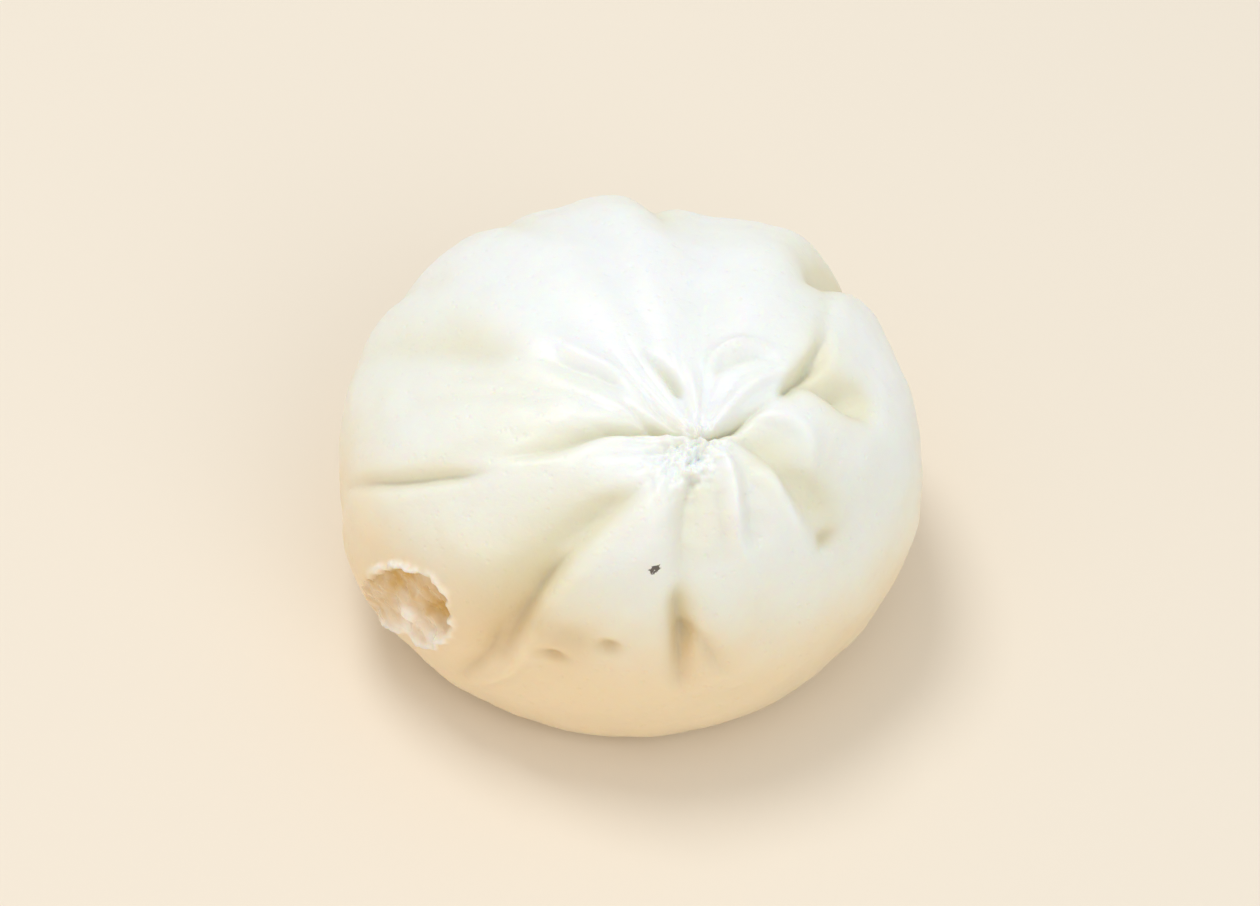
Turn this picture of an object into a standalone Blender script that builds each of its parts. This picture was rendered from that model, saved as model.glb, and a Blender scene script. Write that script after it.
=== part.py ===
"""A steamed bun with pleats gathered into one pinched knot: a single closed solid on a flat base.

The skin is worked out from two surface coordinates. way runs from the knot (0) over the dome to
the widest girth (1) and on down to the edge of the base (2). azimuth is the direction from the
knot, anticlockwise from +X, and -Y is the front.
"""

import math
from collections import namedtuple

import bmesh
import bpy
import numpy as np
from mathutils import Vector, noise

MM = 0.001

# The mound without its pleats
GIRTH_RADIUS = 33.6 * MM
GIRTH_HEIGHT = 16.5 * MM
HEIGHT = 43.0 * MM
BASE_RADIUS = 25.2 * MM
KNOT_OFFSET = np.array([7.9, -19.3]) * MM
LEAN = 0.5  # how far the crown follows the knot, as a share of its offset
CROWN_POWER = 2.35
SIDE_POWER = 2.15

# The hollow that the gathered knot sits in, and the knot's own small peak
HOLLOW_DEPTH, HOLLOW_REACH = 2.6 * MM, 0.26
PEAK_HEIGHT, PEAK_REACH = 1.1 * MM, 0.06

# A crease runs from (start, az_start) to (end, az_end), bowed by bow degrees at its middle. depth and
# the widths of its walls towards lower and higher azimuths are in millimetres: a narrow wall beside
# a wide one is the step of a lapped pleat, and a negative depth makes a raised fold.
Crease = namedtuple("Crease", "start end az_start az_end bow depth low high")
CREASES = [
    # left
    Crease(-0.06, 0.50, 147, 209, 30, 1.6, 0.9, 0.7),
    Crease(0.16, 0.80, 200, 206, 6, 0.5, 3.0, 1.8),
    Crease(0.44, 0.96, 218, 191, 3, 0.9, 2.4, 2.2),
    Crease(0.14, 0.62, 178, 184, 0, 0.35, 1.2, 1.4),
    Crease(0.20, 0.72, 186, 193, 0, 0.30, 1.2, 1.4),
    # front left
    Crease(0.18, 0.92, 256, 246, 0, 1.7, 4.4, 1.0),
    Crease(0.24, 0.88, 250, 239, 0, 0.7, 2.6, 2.6),
    Crease(0.58, 1.20, 251, 240, 1, 1.2, 2.6, 2.2),
    Crease(0.84, 1.50, 245, 230, 0, 0.7, 2.2, 2.2),
    # front, where the crease forks below a small pit
    Crease(0.12, 0.80, 281, 281, -2, 0.9, 0.9, 3.4),
    Crease(0.18, 0.74, 293, 289, -1, 0.6, 2.6, 0.9),
    Crease(0.58, 1.16, 279, 280, 0, 1.8, 1.0, 1.3),
    # front right, beside a narrow petal with a raised edge
    Crease(0.06, 0.68, 314, 297, -9, -1.0, 0.9, 0.7),
    Crease(0.04, 0.86, 341, 320, -14, 1.6, 0.9, 4.2),
    # right, where a crease forks around a small lobe
    Crease(-0.03, 0.48, 345, 371, 0, 1.8, 1.3, 0.9),
    Crease(0.28, 0.62, 365, 346, -2, 1.6, 2.2, 2.6),
    Crease(0.11, 0.50, 361, 322, 0, -0.8, 2.2, 2.4),
    Crease(0.32, 0.62, 12, 42, 0, 0.4, 1.6, 1.6),
    # back right, with a raised fold
    Crease(0.02, 0.32, 26, 12, 0, -1.0, 1.0, 1.2),
    Crease(0.40, 1.15, 41, 30, 0, 1.8, 1.4, 3.4),
    # back
    Crease(0.40, 1.15, 85, 87, 0, 1.3, 1.6, 2.2),
    Crease(0.05, 0.20, 88, 126, 0, 1.4, 0.6, 0.8),
    Crease(0.45, 1.15, 121, 123, 0, 1.0, 2.4, 2.0),
    Crease(0.50, 1.10, 147, 149, 0, 0.5, 2.0, 2.0),
    # back left
    Crease(0.08, 0.34, 144, 163, 9, 0.7, 0.9, 1.4),
    Crease(0.26, 0.95, 168, 162, 5, 0.9, 3.2, 2.6),
]
CREASE_BOTTOM = 1.1  # radius of a crease's rounded bottom, mm
NARROWEST_WALL = 1.8  # what the spacing of the columns can hold, mm
ROLL = 0.30  # how much the skin rolls up beside a crease
KNOT_CROWDING = 0.40  # share of their width that creases keep right at the knot
WANDER, WANDER_SIZE = 0.45, 7.0  # how far a crease strays from its line, and over what length, mm

# Swellings and flats between the creases: centre, rise in mm, and spread in way and in degrees
Lobe = namedtuple("Lobe", "way azimuth rise length width")
LOBES = [
    Lobe(0.80, 20, -0.5, 0.35, 14),
    Lobe(0.60, 52, 0.9, 0.30, 9),
    Lobe(0.55, 75, -1.6, 0.35, 10),
    Lobe(0.55, 98, 0.5, 0.40, 8),
    Lobe(0.55, 108, -0.5, 0.30, 7),
    Lobe(0.60, 125, 0.9, 0.40, 10),
    Lobe(0.95, 207, 1.3, 0.40, 10),
    Lobe(1.05, 245, -0.6, 0.40, 18),
    Lobe(0.80, 343, 0.8, 0.35, 14),
    Lobe(0.46, 167, -0.6, 0.14, 10),
    Lobe(0.86, 300, -0.4, 0.10, 6),
    Lobe(0.88, 260, -0.6, 0.06, 7),
    Lobe(0.45, 268, 0.4, 0.20, 6),
    Lobe(0.34, 313, 0.4, 0.05, 6),
    Lobe(0.11, 350, -0.5, 0.03, 12),
]

# The patch at the lower left where the skin has torn away
TORN = Lobe(1.04, 221, -0.7, 0.13, 8)

DOME_RINGS = 30
SIDE_RINGS = 8
COLUMNS = 120

DOUGH_COLOUR = (0.86, 0.81, 0.67, 1.0)
DOUGH_ROUGHNESS = 0.45


def eased(low, high, value):
    """0 below low, 1 above high, and a smooth step between them."""
    share = np.clip((value - low) / (high - low), 0, 1)
    return share * share * (3 - 2 * share)


def turn_from(centre, azimuth):
    """The signed angle in radians from centre, in degrees, to azimuth, in radians."""
    return (azimuth - np.radians(centre) + math.pi) % (2 * math.pi) - math.pi


def widening(way):
    """A ring's share of the girth radius, rising like a sine so that rings lie evenly on the dome."""
    return np.sin(np.clip(way, 0, 1) * math.pi / 2)


def mound(way, azimuth):
    """Points on the smooth bun: a leaning dome over a side that curves in to the base."""
    outward = np.stack([np.cos(azimuth), np.sin(azimuth)], -1)
    share = widening(way)[..., None]
    dome = KNOT_OFFSET * (1 - share) + GIRTH_RADIUS * share * outward
    from_crown = np.linalg.norm(dome - LEAN * KNOT_OFFSET * (1 - share), axis=-1) / GIRTH_RADIUS
    rise = (1 - np.clip(from_crown, 0, 1) ** CROWN_POWER) ** (1 / SIDE_POWER)
    dome_height = GIRTH_HEIGHT + (HEIGHT - GIRTH_HEIGHT) * rise
    down = np.clip(way - 1, 0, 1) * math.pi / 2
    side_radius = BASE_RADIUS + (GIRTH_RADIUS - BASE_RADIUS) * np.cos(down)
    side_height = GIRTH_HEIGHT * (1 - np.sin(down))
    on_side = way > 1
    plan = np.where(on_side[..., None], side_radius[..., None] * outward, dome)
    height = np.where(on_side, side_height, dome_height)
    return np.concatenate([plan, height[..., None]], -1)


def facing(way, azimuth):
    """Unit normals of the smooth bun, from small steps to either side."""
    step = 0.001
    inner = np.clip(way, 0.02, 1.98)
    along = mound(inner + step, azimuth) - mound(inner - step, azimuth)
    around = mound(inner, azimuth + step) - mound(inner, azimuth - step)
    normal = np.cross(along, around)
    return normal / np.linalg.norm(normal, axis=-1, keepdims=True)


def grain(points, size, shift):
    """Smooth noise from about -1 to 1 at each point, with lumps of about this size in metres."""
    flat = points.reshape(-1, 3) / size + shift
    values = np.array([noise.noise(Vector(point)) for point in flat])
    return values.reshape(points.shape[:-1])


def crease_depth(way, azimuth):
    """How deep the creases cut into the bun."""
    points = mound(way, azimuth)
    ring_radius = GIRTH_RADIUS * widening(way) / MM
    crowding = np.minimum(1, KNOT_CROWDING + 2.2 * way)
    depth = np.zeros_like(way)
    for number, crease in enumerate(CREASES):
        share = np.clip((way - crease.start) / (crease.end - crease.start), 0, 1)
        bow = crease.bow * 4 * share * (1 - share)
        centre = crease.az_start + (crease.az_end - crease.az_start) * share + bow
        wander = WANDER * grain(points, WANDER_SIZE * MM, 3.7 * number)
        offset = turn_from(centre, azimuth) * ring_radius + wander
        width = np.maximum(np.where(offset < 0, crease.low, crease.high), NARROWEST_WALL) * crowding
        away = (np.sqrt(offset**2 + CREASE_BOTTOM**2) - CREASE_BOTTOM) / width
        wall = np.exp(-away) * (1 - ROLL * away**2)
        fading = eased(0, 0.28, share) * (1 - eased(0.45, 1, share))
        depth += crease.depth * MM * fading * wall
    return depth


def lobe_rise(lobe, way, azimuth):
    """The swelling of one lobe, or its flat where the rise is negative."""
    turn = np.degrees(turn_from(lobe.azimuth, azimuth))
    return lobe.rise * MM * np.exp(-(((way - lobe.way) / lobe.length) ** 2) - (turn / lobe.width) ** 2)


def skin(way, azimuth):
    """Points on the finished skin."""
    rise = PEAK_HEIGHT * np.exp(-((way / PEAK_REACH) ** 2))
    rise = rise - HOLLOW_DEPTH * np.exp(-((way / HOLLOW_REACH) ** 2))
    for lobe in [*LOBES, TORN]:
        rise = rise + lobe_rise(lobe, way, azimuth)
    rise = rise - crease_depth(way, azimuth)
    points = mound(way, azimuth) + facing(way, azimuth) * rise[..., None]
    points[..., 2] *= 1 - eased(1.8, 2, way)  # the last ring lies flat on the base
    return points


def centred(points):
    """The points moved so that the middle of the base is at the origin."""
    low = points.min(axis=(0, 1))
    high = points.max(axis=(0, 1))
    return points - [(low[0] + high[0]) / 2, (low[1] + high[1]) / 2, low[2]]


def closed_mesh(name, rings):
    """A mesh from rings that start around the knot, with a tip at the knot and one face as the base."""
    ring_count, column_count = rings.shape[:2]
    shell = bmesh.new()
    rows = [[shell.verts.new(point) for point in ring] for ring in rings[1:]]
    tip = shell.verts.new(rings[0].mean(axis=0))
    for column in range(column_count):
        beside = (column + 1) % column_count
        shell.faces.new((tip, rows[0][column], rows[0][beside]))
        for ring in range(ring_count - 2):
            inner, outer = rows[ring], rows[ring + 1]
            shell.faces.new((inner[column], outer[column], outer[beside], inner[beside]))
    shell.faces.new(reversed(rows[-1]))
    mesh = bpy.data.meshes.new(name)
    shell.to_mesh(mesh)
    shell.free()
    mesh.shade_smooth()
    return mesh


def dough_material():
    """White steamed dough, satin and slightly warm."""
    material = bpy.data.materials.new("dough")
    material.use_nodes = True
    shader = material.node_tree.nodes["Principled BSDF"]
    shader.inputs["Base Color"].default_value = DOUGH_COLOUR
    shader.inputs["Roughness"].default_value = DOUGH_ROUGHNESS
    shader.inputs["Metallic"].default_value = 0.0
    return material


def main():
    for thing in list(bpy.data.objects):
        bpy.data.objects.remove(thing)
    dome_ways = np.linspace(0, 1, DOME_RINGS + 1)
    side_ways = np.linspace(1, 2, SIDE_RINGS + 1)[1:]
    turns = np.linspace(0, 2 * math.pi, COLUMNS, endpoint=False)
    way, azimuth = np.meshgrid(np.concatenate([dome_ways, side_ways]), turns, indexing="ij")
    mesh = closed_mesh("bun", centred(skin(way, azimuth)))
    mesh.materials.append(dough_material())
    bun = bpy.data.objects.new("bun", mesh)
    bpy.context.scene.collection.objects.link(bun)


main()
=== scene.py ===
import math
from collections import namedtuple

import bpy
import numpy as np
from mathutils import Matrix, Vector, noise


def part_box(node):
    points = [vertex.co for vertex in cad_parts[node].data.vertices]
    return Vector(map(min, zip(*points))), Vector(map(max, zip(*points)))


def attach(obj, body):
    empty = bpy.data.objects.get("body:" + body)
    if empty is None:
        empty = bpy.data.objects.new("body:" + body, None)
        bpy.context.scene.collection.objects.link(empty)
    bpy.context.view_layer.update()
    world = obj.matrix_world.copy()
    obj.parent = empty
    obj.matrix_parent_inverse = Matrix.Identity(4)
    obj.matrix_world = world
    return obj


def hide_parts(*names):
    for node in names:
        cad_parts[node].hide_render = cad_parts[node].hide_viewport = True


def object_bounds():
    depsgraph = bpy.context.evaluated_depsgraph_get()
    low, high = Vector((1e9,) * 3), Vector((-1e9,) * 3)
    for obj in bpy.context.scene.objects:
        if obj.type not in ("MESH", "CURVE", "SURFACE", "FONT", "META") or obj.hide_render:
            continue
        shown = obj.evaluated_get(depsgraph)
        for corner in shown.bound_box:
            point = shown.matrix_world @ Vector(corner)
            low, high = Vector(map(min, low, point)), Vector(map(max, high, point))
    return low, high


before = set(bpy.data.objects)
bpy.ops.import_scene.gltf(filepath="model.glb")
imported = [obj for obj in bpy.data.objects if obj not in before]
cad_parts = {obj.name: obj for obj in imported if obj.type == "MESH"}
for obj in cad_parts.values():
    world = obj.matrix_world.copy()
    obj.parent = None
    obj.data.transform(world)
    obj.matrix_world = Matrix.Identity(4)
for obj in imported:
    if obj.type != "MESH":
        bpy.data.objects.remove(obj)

# The looks of a steamed, pleated bun, worked out around its imported solid.
#
# The skin is the same surface as the solid's, drawn finely: way runs from the knot (0) over the dome
# to the widest girth (1) and on down to the edge of the base (2), and azimuth is the direction from
# the knot, anticlockwise from +X, with -Y the front. Finer relief, the torn patch and the colours of
# the dough are added to it, with painted shade in the creases, dents and tear, painted warm bounce
# light and shade low down, and painted highlights in the tear.

CAD_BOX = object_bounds()

MM = 0.001

# The mound without its pleats, as in the solid
GIRTH_RADIUS = 33.6 * MM
GIRTH_HEIGHT = 16.5 * MM
HEIGHT = 43.0 * MM
BASE_RADIUS = 25.2 * MM
KNOT_OFFSET = np.array([7.9, -19.3]) * MM
LEAN = 0.5  # share of the knot's offset that the dome's crown follows
CROWN_POWER = 2.35
SIDE_POWER = 2.15
# The skin sinks toward the knot, which stands up a little in the middle of the hollow
HOLLOW_DEPTH, HOLLOW_REACH = 2.6 * MM, 0.26
PEAK_HEIGHT, PEAK_REACH = 1.1 * MM, 0.06

# A crease runs from (start, az_start) to (end, az_end), bowed by bow degrees at its middle. depth and
# the widths of its walls towards lower and higher azimuths are in millimetres, and a negative depth
# makes a raised fold.
Crease = namedtuple("Crease", "start end az_start az_end bow depth low high")
CREASES = [
    # left
    Crease(-0.06, 0.50, 147, 209, 30, 1.6, 0.9, 0.7),
    Crease(0.16, 0.80, 200, 206, 6, 0.5, 3.0, 1.8),
    Crease(0.44, 0.96, 218, 191, 3, 1.3, 1.0, 0.7),
    Crease(0.14, 0.62, 178, 184, 0, 0.35, 1.2, 1.4),
    Crease(0.20, 0.72, 186, 193, 0, 0.30, 1.2, 1.4),
    # front left
    Crease(0.18, 0.92, 256, 246, 0, 1.5, 4.4, 1.0),
    Crease(0.26, 0.90, 252, 243, 0, 0.8, 3.0, 1.6),
    Crease(0.56, 1.10, 251, 242, 1, 2.1, 2.6, 0.8),
    Crease(0.84, 1.50, 245, 230, 0, 0.9, 1.3, 0.7),
    Crease(0.84, 1.40, 253, 236, 0, -0.8, 0.9, 1.0),
    # front, where the crease forks below a small pit
    Crease(0.12, 0.80, 281, 281, -2, 0.9, 0.9, 3.4),
    Crease(0.18, 0.74, 293, 289, -1, 0.6, 2.6, 0.9),
    Crease(0.60, 1.14, 279, 280, 0, 2.0, 0.8, 1.1),
    Crease(0.80, 1.06, 282, 290, 0, 0.7, 0.7, 0.9),
    # front right, either side of a narrow petal with raised edges
    Crease(0.06, 0.68, 314, 297, -9, -1.0, 0.9, 0.7),
    Crease(0.08, 0.70, 322, 300, -10, 0.6, 0.9, 3.2),
    Crease(0.28, 0.76, 315, 309, -2, -0.5, 0.8, 0.7),
    Crease(0.04, 0.86, 341, 320, -14, 1.6, 0.9, 4.2),
    # right, where a crease forks around a small lobe with a raised edge
    Crease(-0.03, 0.28, 345, 366, 0, 1.6, 1.2, 0.9),
    Crease(0.22, 0.44, 364, 374, 0, 2.1, 1.2, 0.9),
    Crease(0.31, 0.47, 369, 384, 0, 0.8, 0.8, 0.7),
    Crease(0.28, 0.62, 365, 346, -2, 2.2, 1.0, 2.6),
    Crease(0.11, 0.50, 361, 322, 0, -1.2, 1.0, 1.6),
    Crease(0.32, 0.62, 12, 42, 0, 0.4, 1.6, 1.6),
    # back right, with raised folds
    Crease(0.13, 0.28, 73, 23, 0, -1.1, 0.8, 0.8),
    Crease(0.12, 0.27, 66, 17, 0, 0.8, 0.7, 0.9),
    Crease(0.02, 0.32, 26, 12, 0, -1.0, 1.0, 1.2),
    Crease(0.40, 1.15, 41, 30, 0, 1.8, 1.4, 3.4),
    # back
    Crease(0.40, 1.15, 85, 87, 0, 1.3, 1.6, 2.2),
    Crease(0.07, 0.18, 97, 120, 0, 1.3, 0.5, 0.7),
    Crease(0.45, 1.15, 121, 123, 0, 1.0, 2.4, 2.0),
    Crease(0.50, 1.10, 147, 149, 0, 0.5, 2.0, 2.0),
    # back left
    Crease(0.12, 0.32, 152, 165, 4, 0.7, 0.9, 1.4),
    Crease(0.14, 0.32, 144, 154, 4, -0.6, 0.8, 0.8),
    Crease(0.26, 0.95, 168, 162, 5, 0.9, 3.2, 2.6),
    # short folds in the knot itself
    Crease(0.01, 0.16, 74, 88, 0, -0.8, 1.1, 1.1),
    Crease(0.02, 0.14, 172, 138, 0, 0.5, 0.6, 0.6),
    Crease(0.05, 0.17, 190, 158, 0, 0.4, 0.6, 0.6),
    Crease(0.02, 0.16, 225, 236, 0, 0.5, 0.6, 0.6),
]
# The radius of a crease's rounded bottom: this many mm, and a share of its narrower wall
CREASE_BOTTOM, BOTTOM_SHARE = 0.22, 0.30
ROLL = 0.30  # how much the skin rolls up beside a crease
# The share of its width that a crease keeps right at the knot, and how fast that grows with way
KNOT_CROWDING, CROWDING_GROWTH = 0.40, 2.2
KNOT_BOTTOM = 0.6  # share of its bottom's radius that it would keep with no width left
WANDER, WANDER_SIZE = 0.45, 7.0  # how far a crease strays from its line, and over what length, mm
# A crease deepens over the first share of its length, and starts to fade out at the second
CREASE_ENTRY, CREASE_FADE = 0.28, 0.45
# The painted shade spreads wider than the crease, and is full where the valley is this deep
SHADE_SPREAD, SHADE_FULL = 1.5, 1.7 * MM

# Swellings and flats between the creases: centre, rise in mm, and spread in way and in degrees
Lobe = namedtuple("Lobe", "way azimuth rise length width")
LOBES = [
    Lobe(0.80, 20, -0.5, 0.35, 14),
    Lobe(0.60, 52, 0.9, 0.30, 9),
    Lobe(0.55, 75, -1.6, 0.35, 10),
    Lobe(0.55, 98, 0.5, 0.40, 8),
    Lobe(0.55, 108, -0.5, 0.30, 7),
    Lobe(0.60, 125, 0.9, 0.40, 10),
    Lobe(0.95, 207, 1.3, 0.40, 10),
    Lobe(1.05, 245, -0.6, 0.40, 18),
    Lobe(0.80, 343, 0.8, 0.35, 14),
    Lobe(0.86, 300, -0.4, 0.10, 6),
    Lobe(0.45, 268, 0.4, 0.20, 6),
    Lobe(0.34, 313, 0.4, 0.05, 6),
    Lobe(0.11, 350, -0.5, 0.03, 12),
]
# Hollows with painted shade like the creases: broad ones in the valleys, then two small dents low on
# the front left and the pits where two creases end
DENTS = [
    Lobe(0.45, 167, -0.45, 0.13, 9),
    Lobe(0.42, 250, -0.3, 0.10, 4),
    Lobe(0.55, 320, -0.6, 0.16, 4.5),
    Lobe(0.47, 353, -1.1, 0.08, 6),
    Lobe(0.62, 37, -0.7, 0.14, 5),
    Lobe(0.87, 259, -0.5, 0.06, 6),
    Lobe(0.88, 250, -0.5, 0.12, 12),
    Lobe(0.95, 255, -0.9, 0.018, 2.8),
    Lobe(0.88, 266, -1.0, 0.024, 2.4),
    Lobe(0.85, 281, -1.5, 0.042, 1.6),
    Lobe(0.70, 316, -0.9, 0.035, 3.0),
]
DENT_SHADE = 1.5  # how strongly shade is painted in a dent for its depth, where a crease has 1

# The unevenness of the whole skin: amplitude in mm and size in mm
UNEVEN = [(0.42, 11.0), (0.24, 4.5), (0.07, 1.6)]
# The crumpled dough, in mm, around the knot and around a second, crumbly spot in front of it
CRUMPLE_RISE, CRUMPLE_SIZE, CRUMPLE_REACH = 1.5, 1.4, 3.0
CRUMBLY_WAY, CRUMBLY_AZIMUTH, CRUMBLY_REACH = 0.12, 270, 3.6
# The wrinkles that run out from the knot: their height in mm, where they are highest and their spread
GATHER_RISE, GATHER_WAY, GATHER_SPREAD = 0.45, 0.12, 0.10
GATHER_TWIST = 0.8  # how far they turn on their way out, in radians at the girth
# They are noise read on a circle of this radius, in lumps, which moves on by this many at the girth
GATHERS_AROUND, GATHERS_OUTWARD = 2.6, 3.0

# The torn patch: an ellipse whose long axis leans by TORN_LEAN degrees from level, with lengths in mm
TORN_WAY, TORN_AZIMUTH, TORN_LEAN = 1.04, 221, 50
TORN_HALF_LENGTH, TORN_HALF_WIDTH = 8.8, 5.2
TORN_MARGIN = 1.04  # its size as a share of those half lengths, before the ragged edge
# Two sides of it are straight: (the way each one faces, its distance from the middle)
TORN_STRAIGHT_SIDES = [(math.radians(225), 0.66), (math.radians(292), 0.97)]
TORN_REACH = 16  # nothing of it lies farther from its middle than this many mm
TORN_DEPTH = 1.1
LIP_RISE, LIP_PLACE, LIP_SPREAD = 0.60, -0.18, 0.34  # of the raised lip, whose place is outside the edge
# Soft spots inside it, whose places and sizes are shares of its half length and half width
Spot = namedtuple("Spot", "along length beside width")
POCKET = Spot(0.68, 0.30, -0.36, 0.50)
NUB = Spot(-0.06, 0.17, -0.12, 0.24)
# What each part of it adds to the depth and to the tan, which under the edge and in the pocket is painted
# shade, as shares of TORN_DEPTH and of the full tan
FLOOR_DEPTH, POCKET_DEPTH, UNDER_EDGE_DEPTH, NUB_RISE, LOW_SIDE_RISE = 0.50, 0.38, 0.20, 0.75, 0.25
FLOOR_BROWN, POCKET_SHADE, UNDER_EDGE_SHADE, LOW_SIDE_BROWN = 0.15, 1.1, 0.7, -0.7
# The pale tone is a painted highlight on the nub, a paler crust on the low side, and paler dough with a
# painted highlight along the lip
NUB_HIGHLIGHT, CRUST_PALE, LIP_PALE_AND_HIGHLIGHT = 1.4, 0.80, 1.2

# The dark fleck: (way, azimuth, radius in mm) of its two spots
SPECK_SPOTS = [(0.572, 272.9, 0.42), (0.580, 272.0, 0.36)]

# How far the base lifts where it doesn't touch, over what lumps, and how soon inside its edge
BASE_LIFT, BASE_LIFT_SIZE, BASE_LIFT_START = 0.10 * MM, 6 * MM, 0.25

# The mesh, whose rings and columns crowd where the relief is fine: the share added and its reach
RINGS, RINGS_UNDER, COLUMNS = 186, 8, 508
SIDE_SPACING = 0.55
KNOT_RINGS, KNOT_RINGS_REACH = 2.0, 0.14
TORN_RINGS, TORN_RINGS_REACH = 0.7, 0.24
TORN_COLUMNS, TORN_COLUMNS_REACH = 1.2, 0.32
SPACING_STEPS = 8001


def eased(low, high, value):
    """0 below low, 1 above high, and a smooth step between them."""
    share = np.clip((value - low) / (high - low), 0, 1)
    return share * share * (3 - 2 * share)


def turn_from(centre, azimuth):
    """The signed angle in radians from centre, in degrees, to azimuth, in radians."""
    return (azimuth - np.radians(centre) + math.pi) % (2 * math.pi) - math.pi


def widening(way):
    """A ring's share of the girth radius, rising like a sine so that rings lie evenly on the dome."""
    return np.sin(np.clip(way, 0, 1) * math.pi / 2)


def mound(way, azimuth):
    """Points on the smooth bun: a leaning dome over a side that curves in to the base."""
    outward = np.stack([np.cos(azimuth), np.sin(azimuth)], -1)
    share = widening(way)[..., None]
    dome = KNOT_OFFSET * (1 - share) + GIRTH_RADIUS * share * outward
    from_crown = np.linalg.norm(dome - LEAN * KNOT_OFFSET * (1 - share), axis=-1) / GIRTH_RADIUS
    rise = (1 - np.clip(from_crown, 0, 1) ** CROWN_POWER) ** (1 / SIDE_POWER)
    dome_height = GIRTH_HEIGHT + (HEIGHT - GIRTH_HEIGHT) * rise
    down = np.clip(way - 1, 0, 1) * math.pi / 2
    side_radius = BASE_RADIUS + (GIRTH_RADIUS - BASE_RADIUS) * np.cos(down)
    side_height = GIRTH_HEIGHT * (1 - np.sin(down))
    on_side = way > 1
    plan = np.where(on_side[..., None], side_radius[..., None] * outward, dome)
    height = np.where(on_side, side_height, dome_height)
    return np.concatenate([plan, height[..., None]], -1)


def facing(way, azimuth):
    """Unit normals of the smooth bun, from small steps to either side."""
    step = 0.001
    inner = np.clip(way, 0.02, 1.98)
    along = mound(inner + step, azimuth) - mound(inner - step, azimuth)
    around = mound(inner, azimuth + step) - mound(inner, azimuth - step)
    normal = np.cross(along, around)
    return normal / np.linalg.norm(normal, axis=-1, keepdims=True)


def crease_depth(way, azimuth, points):
    """How deep the creases cut into the bun, and the painted shade in the wider valleys around them, both
    in metres of depth.
    """
    ring_radius = GIRTH_RADIUS * widening(way) / MM
    crowding = np.minimum(1, KNOT_CROWDING + CROWDING_GROWTH * way)
    depth, painted_shade = np.zeros_like(way), np.zeros_like(way)
    for number, crease in enumerate(CREASES):
        share = np.clip((way - crease.start) / (crease.end - crease.start), 0, 1)
        bow = crease.bow * 4 * share * (1 - share)
        centre = crease.az_start + (crease.az_end - crease.az_start) * share + bow
        wander = WANDER * grain(points, WANDER_SIZE * MM, 3.7 * number)
        offset = turn_from(centre, azimuth) * ring_radius + wander
        width = np.where(offset < 0, crease.low, crease.high) * crowding
        bottom = CREASE_BOTTOM + BOTTOM_SHARE * min(crease.low, crease.high)
        bottom = bottom * (KNOT_BOTTOM + (1 - KNOT_BOTTOM) * crowding)
        away = (np.sqrt(offset**2 + bottom**2) - bottom) / width
        fading = crease.depth * MM * eased(0, CREASE_ENTRY, share) * (1 - eased(CREASE_FADE, 1, share))
        depth += fading * np.exp(-away) * (1 - ROLL * away**2)
        painted_shade += fading * np.exp(-away / SHADE_SPREAD)
    return depth, painted_shade


def lobe_rise(lobe, way, azimuth):
    """The swelling of one lobe, or its flat where the rise is negative."""
    turn = np.degrees(turn_from(lobe.azimuth, azimuth))
    return lobe.rise * MM * np.exp(-(((way - lobe.way) / lobe.length) ** 2) - (turn / lobe.width) ** 2)


def grain(points, size, shift=0.0):
    """Smooth noise from about -1 to 1 at each point, with lumps of about this size in metres."""
    flat = points.reshape(-1, 3) / size + shift
    values = np.array([noise.noise(Vector(point)) for point in flat])
    return values.reshape(points.shape[:-1])


def place_of(way, azimuth):
    """(point, across, upward) of a spot on the smooth bun, with azimuth in degrees."""
    ways, turns = np.array([way]), np.radians([azimuth])
    outward = facing(ways, turns)[0]
    across = np.array([-math.sin(turns[0]), math.cos(turns[0]), 0])
    return mound(ways, turns)[0], across, np.cross(outward, across)


def spot_share(spot, along, beside):
    """1 in the middle of a soft spot of the torn patch, falling smoothly to 0 around it."""
    return np.exp(-(((along - spot.along) / spot.length) ** 2) - ((beside - spot.beside) / spot.width) ** 2)


def torn_outline(points):
    """Where points lie on the torn patch: along and beside its axes, and how far inside its edge in mm."""
    centre, across, upward = place_of(TORN_WAY, TORN_AZIMUTH)
    offset = (points - centre) / MM
    lean = math.radians(TORN_LEAN)
    along = offset @ (across * math.cos(lean) + upward * math.sin(lean)) / TORN_HALF_LENGTH
    beside = offset @ (upward * math.cos(lean) - across * math.sin(lean)) / TORN_HALF_WIDTH
    inside = TORN_MARGIN - np.hypot(along, beside)
    for turn, reach in TORN_STRAIGHT_SIDES:
        inside = np.minimum(inside, reach - along * math.cos(turn) - beside * math.sin(turn))
    ragged = 0.07 * grain(points, 2.6 * MM, 3.1) + 0.10 * grain(points, 1.2 * MM, 12.4)
    near = np.linalg.norm(offset, axis=-1) < TORN_REACH
    return along, beside, (inside + ragged) * TORN_HALF_WIDTH, near


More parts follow.
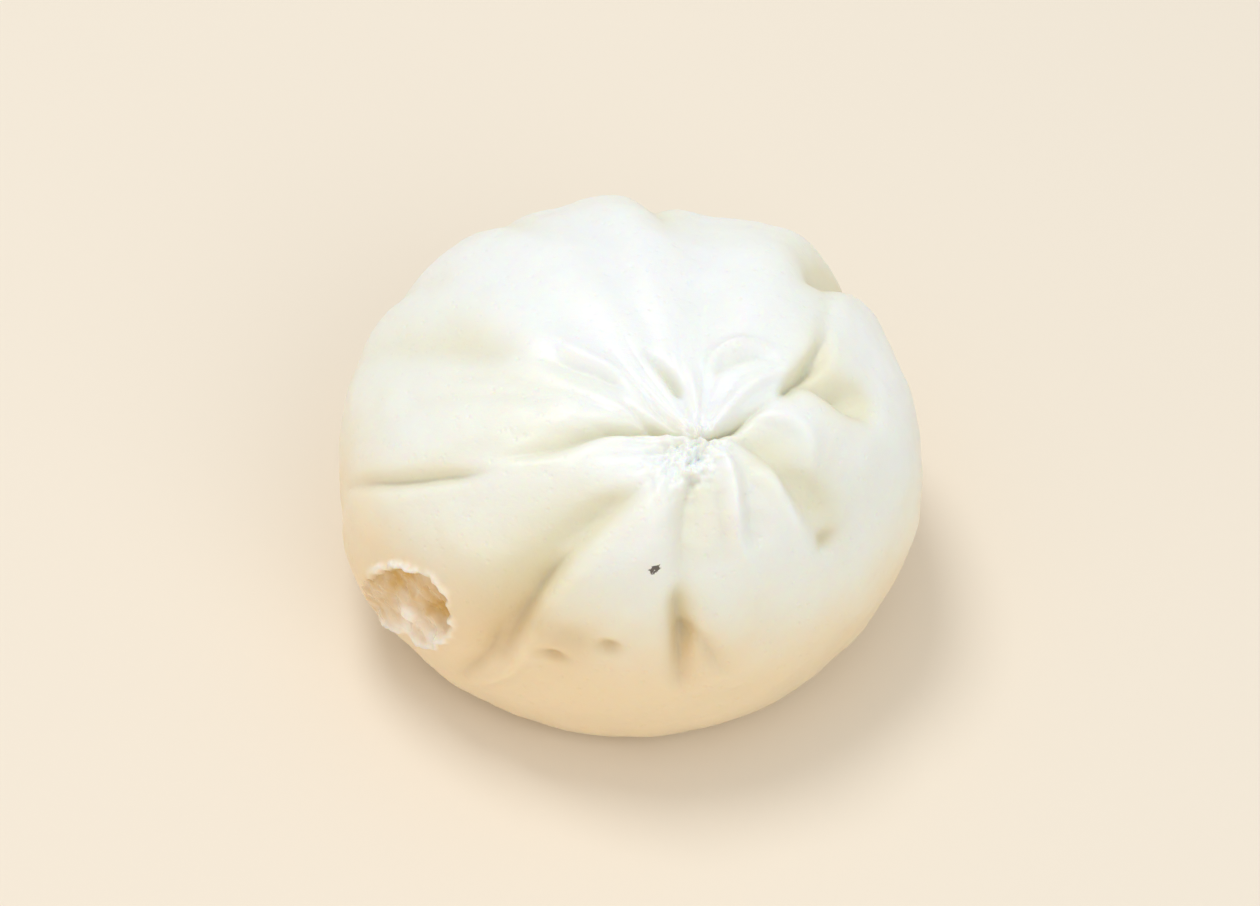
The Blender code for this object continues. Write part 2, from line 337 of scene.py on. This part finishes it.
def torn_patch(points):
    """(rise in metres, masks) of the patch where the skin has torn away."""
    along, beside, inside, near = torn_outline(points)
    pocket = spot_share(POCKET, along, beside)
    nub = spot_share(NUB, along, beside)
    under_edge = eased(0.25, 0.75, beside) * np.exp(-(((along - 0.25) / 0.45) ** 2))
    low_side = eased(0.0, -0.7, beside + 0.3 * along) * (1 - pocket)

    # The floor drops steeply under the upper lip and runs out gently on the low side
    steepness = eased(-0.9, 0.5, 0.75 * along + 0.65 * beside)
    step = eased(0, 0.5 + 1.4 * (1 - steepness), inside)
    floor = FLOOR_DEPTH + POCKET_DEPTH * pocket + UNDER_EDGE_DEPTH * under_edge
    floor = floor - NUB_RISE * nub - LOW_SIDE_RISE * low_side
    floor = floor - 0.30 * grain(points, 1.6 * MM, 1.3) - 0.14 * grain(points, 0.7 * MM, 5.3)
    jags = np.clip(0.70 + 1.5 * grain(points, 2.6 * MM, 9.9), 0, 1.5)
    lipped = np.maximum(eased(-0.25, 0.10, along), eased(0.1, -0.2, beside))
    rim = lipped * np.exp(-(((inside - LIP_PLACE) / LIP_SPREAD) ** 2)) * jags
    rise = np.where(near, (LIP_RISE * rim - TORN_DEPTH * step * floor) * MM, 0)

    torn = np.where(near, eased(-0.1, 0.4, inside), 0)
    # The tan is painted shade under the upper edge and in the pocket, over the crumb's own uneven tan
    tan_and_shade = FLOOR_BROWN + POCKET_SHADE * pocket + UNDER_EDGE_SHADE * under_edge
    tan_and_shade = tan_and_shade + LOW_SIDE_BROWN * low_side + 0.5 * grain(points, 1.4 * MM, 4.2)
    crust = CRUST_PALE * low_side * (0.9 + grain(points, 1.8 * MM, 6.4))
    # Pale tone: a painted highlight on the nub, and paler dough with a painted highlight along the lip
    pale_and_highlight = np.where(near, torn * np.maximum(NUB_HIGHLIGHT * nub, crust) + LIP_PALE_AND_HIGHLIGHT * rim, 0)
    masks = {"torn": torn, "tan_and_shade": torn * np.clip(tan_and_shade, 0, 1), "pale_and_highlight": np.clip(pale_and_highlight, 0, 1)}
    return rise, masks


def crumples(points):
    """The crumpled dough in the knot, and the crumbly patch in front of it."""
    spots = [(0.0, 0, CRUMPLE_REACH), (CRUMBLY_WAY, CRUMBLY_AZIMUTH, CRUMBLY_REACH)]
    near = np.zeros(points.shape[:-1])
    for way, azimuth, reach in spots:
        away = np.linalg.norm(points - place_of(way, azimuth)[0], axis=-1) / MM
        near = np.maximum(near, np.exp(-((away / reach) ** 2)))
    lumps = grain(points, CRUMPLE_SIZE * MM, 2.2) + 0.5 * grain(points, 0.45 * CRUMPLE_SIZE * MM, 4.8)
    return CRUMPLE_RISE * MM * near * lumps


def gathers(way, azimuth):
    """Small uneven wrinkles that run out from the knot."""
    turned = azimuth + GATHER_TWIST * way
    around = GATHERS_AROUND * np.stack([np.cos(turned), np.sin(turned)], -1)
    spokes = np.concatenate([around, GATHERS_OUTWARD * way[..., None]], -1)
    wrinkles = np.abs(grain(spokes, 1.0, 5.5)) + 0.4 * np.abs(grain(spokes * 2.2, 1.0, 1.7)) - 0.3
    return GATHER_RISE * MM * wrinkles * np.exp(-(((way - GATHER_WAY) / GATHER_SPREAD) ** 2))


def skin(way, azimuth):
    """Points on the finished skin, and the masks that its colours follow."""
    base = mound(way, azimuth)
    rise = PEAK_HEIGHT * np.exp(-((way / PEAK_REACH) ** 2))
    rise = rise - HOLLOW_DEPTH * np.exp(-((way / HOLLOW_REACH) ** 2))
    for lobe in LOBES:
        rise = rise + lobe_rise(lobe, way, azimuth)
    for number, (amplitude, size) in enumerate(UNEVEN):
        rise = rise + amplitude * MM * grain(base, size * MM, 11.0 * number)
    rise = rise + crumples(base) + gathers(way, azimuth)
    depth, painted_shade = crease_depth(way, azimuth, base)
    for dent in DENTS:
        dented = lobe_rise(dent, way, azimuth)
        rise = rise + dented
        # A dent gets painted shade like a crease
        painted_shade = painted_shade - DENT_SHADE * dented
    torn_rise, masks = torn_patch(base)
    points = base + facing(way, azimuth) * (rise - depth + torn_rise)[..., None]
    points[..., 2] *= 1 - eased(1.8, 2, way)
    # The crease mask is where shade is painted in the creases and dents
    masks["crease"] = np.clip(painted_shade / SHADE_FULL, 0, 1)
    return points, masks


def underside(rim):
    """Rings from the edge of the base to its middle, lifted a little where the bun doesn't touch."""
    middle = rim.mean(axis=0)
    inward = np.linspace(0, 1, RINGS_UNDER + 2)[1:-1, None, None]
    rings = rim * (1 - inward) + middle * inward
    lift = eased(0, BASE_LIFT_START, inward[..., 0])
    rings[..., 2] = lift * BASE_LIFT * (1 + grain(rings, BASE_LIFT_SIZE, 8.0))
    return rings


def spaced(start, end, count, crowded):
    """Numbers from start to end, closer together where the function crowded is higher."""
    fine = np.linspace(start, end, SPACING_STEPS)
    passed = np.concatenate([[0], np.cumsum((crowded(fine[1:]) + crowded(fine[:-1])) / 2)])
    return np.interp(np.linspace(0, passed[-1], count), passed, fine)


def ways_of_rings():
    """Rings that crowd at the knot and at the torn patch's height, and thin out on the side."""
    def crowded(way):
        at_knot = KNOT_RINGS * np.exp(-((way / KNOT_RINGS_REACH) ** 2))
        at_tear = TORN_RINGS * np.exp(-(((way - TORN_WAY) / TORN_RINGS_REACH) ** 2))
        return np.where(way < 1, 1.0, SIDE_SPACING) + at_knot + at_tear
    return spaced(0, 2, RINGS, crowded)


def turns_of_columns():
    """Columns that crowd at the torn patch."""
    def crowded(turn):
        away = turn_from(TORN_AZIMUTH, turn) / TORN_COLUMNS_REACH
        return 1 + TORN_COLUMNS * np.exp(-(away**2))
    return spaced(0, 2 * math.pi, COLUMNS + 1, crowded)[:-1]


def rings_of_bun():
    """All rings of the bun's skin from the knot to the middle of the base, with their masks."""
    way, azimuth = np.meshgrid(ways_of_rings(), turns_of_columns(), indexing="ij")
    points, masks = skin(way, azimuth)
    under = underside(points[-1])
    nothing = np.zeros(under.shape[:2])
    masks = {name: np.concatenate([mask, nothing]) for name, mask in masks.items()}
    return np.concatenate([points, under]), masks


def shift_of(points):
    """The move that puts the points' box in the middle of the solid's box, on the same base."""
    low, high = points.min(axis=(0, 1)), points.max(axis=(0, 1))
    cad_low, cad_high = (np.array(corner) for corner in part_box("bun"))
    shift = (cad_low + cad_high) / 2 - (low + high) / 2
    shift[2] = cad_low[2] - low[2]
    return shift


def bun_mesh(name, rings, masks):
    """The bun as one closed mesh: a tip at the knot, rings of faces, and a middle point under the base."""
    ring_count, columns = rings.shape[:2]
    tip, middle = rings[0].mean(axis=0), rings[-1].mean(axis=0)
    points = np.concatenate([[tip], rings[1:].reshape(-1, 3), [middle]])
    faces = []
    for column in range(columns):
        beside = (column + 1) % columns
        faces.append((0, 1 + column, 1 + beside))
        for ring in range(ring_count - 2):
            here, below = 1 + ring * columns, 1 + (ring + 1) * columns
            faces.append((here + column, below + column, below + beside, here + beside))
        last = 1 + (ring_count - 2) * columns
        faces.append((last + column, len(points) - 1, last + beside))
    mesh = bpy.data.meshes.new(name)
    mesh.from_pydata(points, [], faces)
    for mask_name, mask in masks.items():
        values = np.concatenate([[mask[0].mean()], mask[1:].ravel(), [mask[-1].mean()]])
        attribute = mesh.attributes.new(mask_name, "FLOAT", "POINT")
        attribute.data.foreach_set("value", values.astype(np.float32))
    mesh.shade_smooth()
    return mesh


class Shading:
    """A material's node tree, with short calls for the nodes used here."""

    def __init__(self, name):
        self.material = bpy.data.materials.new(name)
        self.material.use_nodes = True
        self.nodes = self.material.node_tree.nodes
        self.links = self.material.node_tree.links
        self.shader = self.nodes["Principled BSDF"]
        self.place = self.nodes.new("ShaderNodeTexCoord").outputs["Object"]

    def join(self, value, socket):
        """Links a socket, or sets a plain value."""
        if isinstance(value, bpy.types.NodeSocket):
            self.links.new(value, socket)
        else:
            socket.default_value = value

    def noise(self, size, detail=3.0, roughness=0.5):
        """A noise of about this lump size in metres."""
        made = self.nodes.new("ShaderNodeTexNoise")
        made.inputs["Scale"].default_value = 1 / size
        made.inputs["Detail"].default_value = detail
        made.inputs["Roughness"].default_value = roughness
        self.links.new(self.place, made.inputs["Vector"])
        return made.outputs["Fac"]

    def cells(self, size):
        """Distance to the nearest of points scattered about this far apart."""
        made = self.nodes.new("ShaderNodeTexVoronoi")
        made.inputs["Scale"].default_value = 1 / size
        self.links.new(self.place, made.inputs["Vector"])
        return made.outputs["Distance"]

    def mask(self, name):
        """One of the mesh's masks."""
        made = self.nodes.new("ShaderNodeAttribute")
        made.attribute_name = name
        return made.outputs["Fac"]

    def height(self):
        """The height above the base in metres."""
        made = self.nodes.new("ShaderNodeSeparateXYZ")
        self.links.new(self.place, made.inputs[0])
        return made.outputs["Z"]

    def distance_from(self, point):
        """The distance in metres from one point of the bun."""
        made = self.nodes.new("ShaderNodeVectorMath")
        made.operation = "DISTANCE"
        self.links.new(self.place, made.inputs[0])
        made.inputs[1].default_value = point
        return made.outputs["Value"]

    def ranged(self, value, low, high, to_low=0.0, to_high=1.0):
        """to_low where value is at low, to_high where it is at high, and a smooth step between them."""
        made = self.nodes.new("ShaderNodeMapRange")
        made.interpolation_type = "SMOOTHSTEP"
        self.join(value, made.inputs["Value"])
        for socket, number in zip(made.inputs[1:5], (low, high, to_low, to_high)):
            socket.default_value = number
        return made.outputs["Result"]

    def maths(self, operation, first, second):
        """One operation on two sockets or plain numbers."""
        made = self.nodes.new("ShaderNodeMath")
        made.operation = operation
        self.join(first, made.inputs[0])
        self.join(second, made.inputs[1])
        return made.outputs[0]

    def mixed(self, share, first, second):
        """The first colour, with this share of the second."""
        made = self.nodes.new("ShaderNodeMix")
        made.data_type = "RGBA"
        colours = [socket for socket in made.inputs if socket.type == "RGBA"]
        self.join(share, made.inputs["Factor"])
        self.join(first, colours[0])
        self.join(second, colours[1])
        return next(socket for socket in made.outputs if socket.type == "RGBA")

    def bumped(self, height, distance, strength, under=None):
        """A bumped normal, on top of another one if it is given."""
        made = self.nodes.new("ShaderNodeBump")
        made.inputs["Distance"].default_value = distance
        made.inputs["Strength"].default_value = strength
        self.join(height, made.inputs["Height"])
        if under:
            self.links.new(under, made.inputs["Normal"])
        return made.outputs["Normal"]


# The dough's colours, from the top of the bun down; the last is painted warm bounce light and shade low
# down
IVORY = (0.880, 0.922, 0.895, 1)
MILK = (0.895, 0.932, 0.925, 1)
MIDWAY = (0.870, 0.915, 0.850, 1)
WARM_BOUNCE_AND_SHADE = (0.880, 0.732, 0.498, 1)
# Painted shade in the creases, high up and low down
CREASE_SHADE = (0.785, 0.740, 0.530, 1)
CREASE_SHADE_LOW = (0.740, 0.580, 0.340, 1)
# On the base
BASE_PALE = (0.890, 0.830, 0.690, 1)
BASE_DAMP = (0.850, 0.755, 0.580, 1)
# In the torn patch, where the tan is partly painted shade and the pale tone partly painted highlight, and
# the fleck
SHADED_TAN = (0.620, 0.380, 0.080, 1)
CRUMB = (0.780, 0.630, 0.430, 1)
PALE_AND_HIGHLIGHT = (0.960, 0.910, 0.830, 1)
SPECK = (0.060, 0.035, 0.022, 1)

# Heights between which one tone gives way to the next, where lumps of noise move the first two
PATCH_SIZE, PATCH_LIFT = 9 * MM, 11 * MM
MIDWAY_BELOW, MIDWAY_ABOVE = 24 * MM, 42 * MM
WARM_BELOW, WARM_ABOVE = 13 * MM, 35 * MM
SHADED_LOW_BELOW, SHADED_ABOVE = 17 * MM, 32 * MM
STRONG_SHADE_BELOW, WEAK_SHADE_ABOVE = 18 * MM, 38 * MM
BASE_BELOW, BASE_ABOVE = 0.5 * MM, 4 * MM
# The painted warm bounce light and shade low down reaches higher up around this spot at the front left
BOUNCE_SPOT = (-22 * MM, -22 * MM, 12 * MM)
BOUNCE_REACH, BOUNCE_LIFT = 56 * MM, 10 * MM


def speck_mask(made, on_bun):
    """A dark fleck on the front: two spots that run together, with a ragged edge."""
    nearest = 10.0
    for way, azimuth, radius in SPECK_SPOTS:
        away = made.maths("DIVIDE", made.distance_from(on_bun(way, azimuth)), radius * MM)
        nearest = made.maths("MINIMUM", nearest, away)
    ragged = made.maths("ADD", nearest, made.ranged(made.noise(0.35 * MM), 0.25, 0.75, -0.5, 0.5))
    return made.ranged(ragged, 1.25, 0.85, 0.0, 0.9)


def skin_colour(made):
    """Milky dough with painted warm bounce light and shade low down, painted shade in the creases and
    dents, and a paler, damp base.
    """
    colour = made.mixed(made.ranged(made.noise(12 * MM), 0.35, 0.65), IVORY, MILK)
    patchy = made.maths("MULTIPLY", made.noise(PATCH_SIZE), PATCH_LIFT)
    # The warm tone low down is painted warm bounce light and shade, lifted higher toward the front left
    lift = made.ranged(made.distance_from(BOUNCE_SPOT), 0.0, BOUNCE_REACH, -BOUNCE_LIFT, 0.0)
    level = made.maths("ADD", made.maths("ADD", made.height(), patchy), lift)
    colour = made.mixed(made.ranged(level, MIDWAY_BELOW, MIDWAY_ABOVE, 1.0, 0.0), colour, MIDWAY)
    colour = made.mixed(made.ranged(level, WARM_BELOW, WARM_ABOVE, 0.95, 0.0), colour, WARM_BOUNCE_AND_SHADE)
    # Painted shade in the creases and dents, stronger low down
    crease_shade_strength = made.ranged(made.height(), STRONG_SHADE_BELOW, WEAK_SHADE_ABOVE, 0.95, 0.72)
    high_up = made.ranged(made.height(), SHADED_LOW_BELOW, SHADED_ABOVE)
    painted_shade = made.mixed(high_up, CREASE_SHADE_LOW, CREASE_SHADE)
    colour = made.mixed(made.maths("MULTIPLY", made.mask("crease"), crease_shade_strength), colour, painted_shade)
    stood_on = made.mixed(made.ranged(made.noise(PATCH_SIZE), 0.30, 0.70), BASE_PALE, BASE_DAMP)
    return made.mixed(made.ranged(made.height(), BASE_BELOW, BASE_ABOVE, 0.80, 0.0), colour, stood_on)


def torn_colour(made, colour):
    """The skin's colour with the torn patch's crumb, its tan with painted shade under the lip, and its pale
    lip, crust and painted highlight over it.
    """
    crumb = made.mixed(made.mask("tan_and_shade"), CRUMB, SHADED_TAN)
    colour = made.mixed(made.mask("torn"), colour, crumb)
    return made.mixed(made.mask("pale_and_highlight"), colour, PALE_AND_HIGHLIGHT)


def dough(on_bun):
    """Steamed dough: slightly translucent, finely pored, and moist in the tear."""
    made = Shading("steamed_dough")
    colour = torn_colour(made, skin_colour(made))
    colour = made.mixed(speck_mask(made, on_bun), colour, SPECK)
    made.join(colour, made.shader.inputs["Base Color"])
    roughness = made.ranged(made.noise(4 * MM), 0.3, 0.7, 0.40, 0.52)
    wet = made.maths("MULTIPLY", made.mask("torn"), -0.20)
    made.join(made.maths("ADD", roughness, wet), made.shader.inputs["Roughness"])
    fine = made.bumped(made.noise(0.9 * MM, 4, 0.6), 0.15 * MM, 0.5)
    pores = made.bumped(made.ranged(made.cells(1.3 * MM), 0.0, 0.30), 0.15 * MM, 0.4, fine)
    made.join(pores, made.shader.inputs["Normal"])
    made.shader.inputs["Subsurface Weight"].default_value = 0.8
    made.shader.inputs["Subsurface Radius"].default_value = (1.0, 0.72, 0.42)
    made.shader.inputs["Subsurface Scale"].default_value = 1.3 * MM
    made.shader.inputs["Coat Weight"].default_value = 0.18
    made.shader.inputs["Coat Roughness"].default_value = 0.25
    return made.material


def make_bun():
    """The bun's one piece, riding on the part's root in place of its solid."""
    rings, masks = rings_of_bun()
    shift = shift_of(rings)

    def on_bun(way, azimuth):
        """The place of one spot on the finished skin, with azimuth in degrees."""
        ring_ways = np.array([[0.0], [way]])
        turns = np.full((2, 1), math.radians(azimuth))
        return skin(ring_ways, turns)[0][1, 0] + shift

    mesh = bun_mesh("bun_skin", rings + shift, masks)
    mesh.materials.append(dough(on_bun))
    bun = bpy.data.objects.new("bun_skin", mesh)
    bpy.context.scene.collection.objects.link(bun)
    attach(bun, "root")
    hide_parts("bun")


CREAMS = [(0.85, 0.770, 0.65, 1), (0.87, 0.790, 0.67, 1)]
CAMERA_ELEVATION, CAMERA_DISTANCE = 47, 0.606
AIM_HEIGHT = 18 * MM


def make_floor():
    """A plain cream floor."""
    bpy.ops.mesh.primitive_plane_add(size=4)
    floor = bpy.context.object
    floor.name = "floor"
    made = Shading("floor")
    cream = made.mixed(made.noise(0.3), *CREAMS)
    made.join(cream, made.shader.inputs["Base Color"])
    made.shader.inputs["Roughness"].default_value = 0.8
    floor.data.materials.append(made.material)


def aim(thing, target):
    """Turns a lamp or the camera to face a point."""
    thing.rotation_euler = (target - thing.location).to_track_quat("-Z", "Y").to_euler()


def soft_light(name, place, size, watts, target, colour=(1, 1, 1)):
    """A round lamp that faces target."""
    light = bpy.data.lights.new(name, "AREA")
    light.shape = "DISK"
    light.color = colour
    light.size = size
    light.energy = watts
    lamp = bpy.data.objects.new(name, light)
    lamp.location = place
    aim(lamp, target)
    bpy.context.scene.collection.objects.link(lamp)


def make_light(middle):
    """A white surround, two soft lamps, and a weak warm one low at the left."""
    world = bpy.data.worlds.new("studio")
    world.use_nodes = True
    surround = world.node_tree.nodes["Background"]
    surround.inputs["Color"].default_value = (1.0, 1.0, 0.99, 1)
    surround.inputs["Strength"].default_value = 0.64
    bpy.context.scene.world = world
    soft_light("key", middle + Vector((-0.14, 0.16, 0.65)), 0.26, 1.6, middle)
    soft_light("front", middle + Vector((0.30, -0.46, 0.42)), 0.50, 0.86, middle)
    soft_light("bounce", middle + Vector((-0.20, -0.22, 0.03)), 0.14, 0.08, middle, (1, 0.55, 0.20))


def make_camera(middle):
    """The camera, in front of the bun and above it."""
    elevation = math.radians(CAMERA_ELEVATION)
    camera = bpy.data.cameras.new("camera")
    camera.lens = 150
    camera.sensor_width = 36
    camera.clip_start = 0.01
    eye = bpy.data.objects.new("camera", camera)
    eye.location = middle + Vector((0, -math.cos(elevation), math.sin(elevation))) * CAMERA_DISTANCE
    aim(eye, middle)
    bpy.context.scene.collection.objects.link(eye)
    bpy.context.scene.camera = eye


make_bun()
make_floor()
cad_low, cad_high = CAD_BOX
middle = (cad_low + cad_high) / 2
middle.z = AIM_HEIGHT
make_light(middle)
make_camera(middle)
bpy.context.scene.view_settings.view_transform = "Standard"
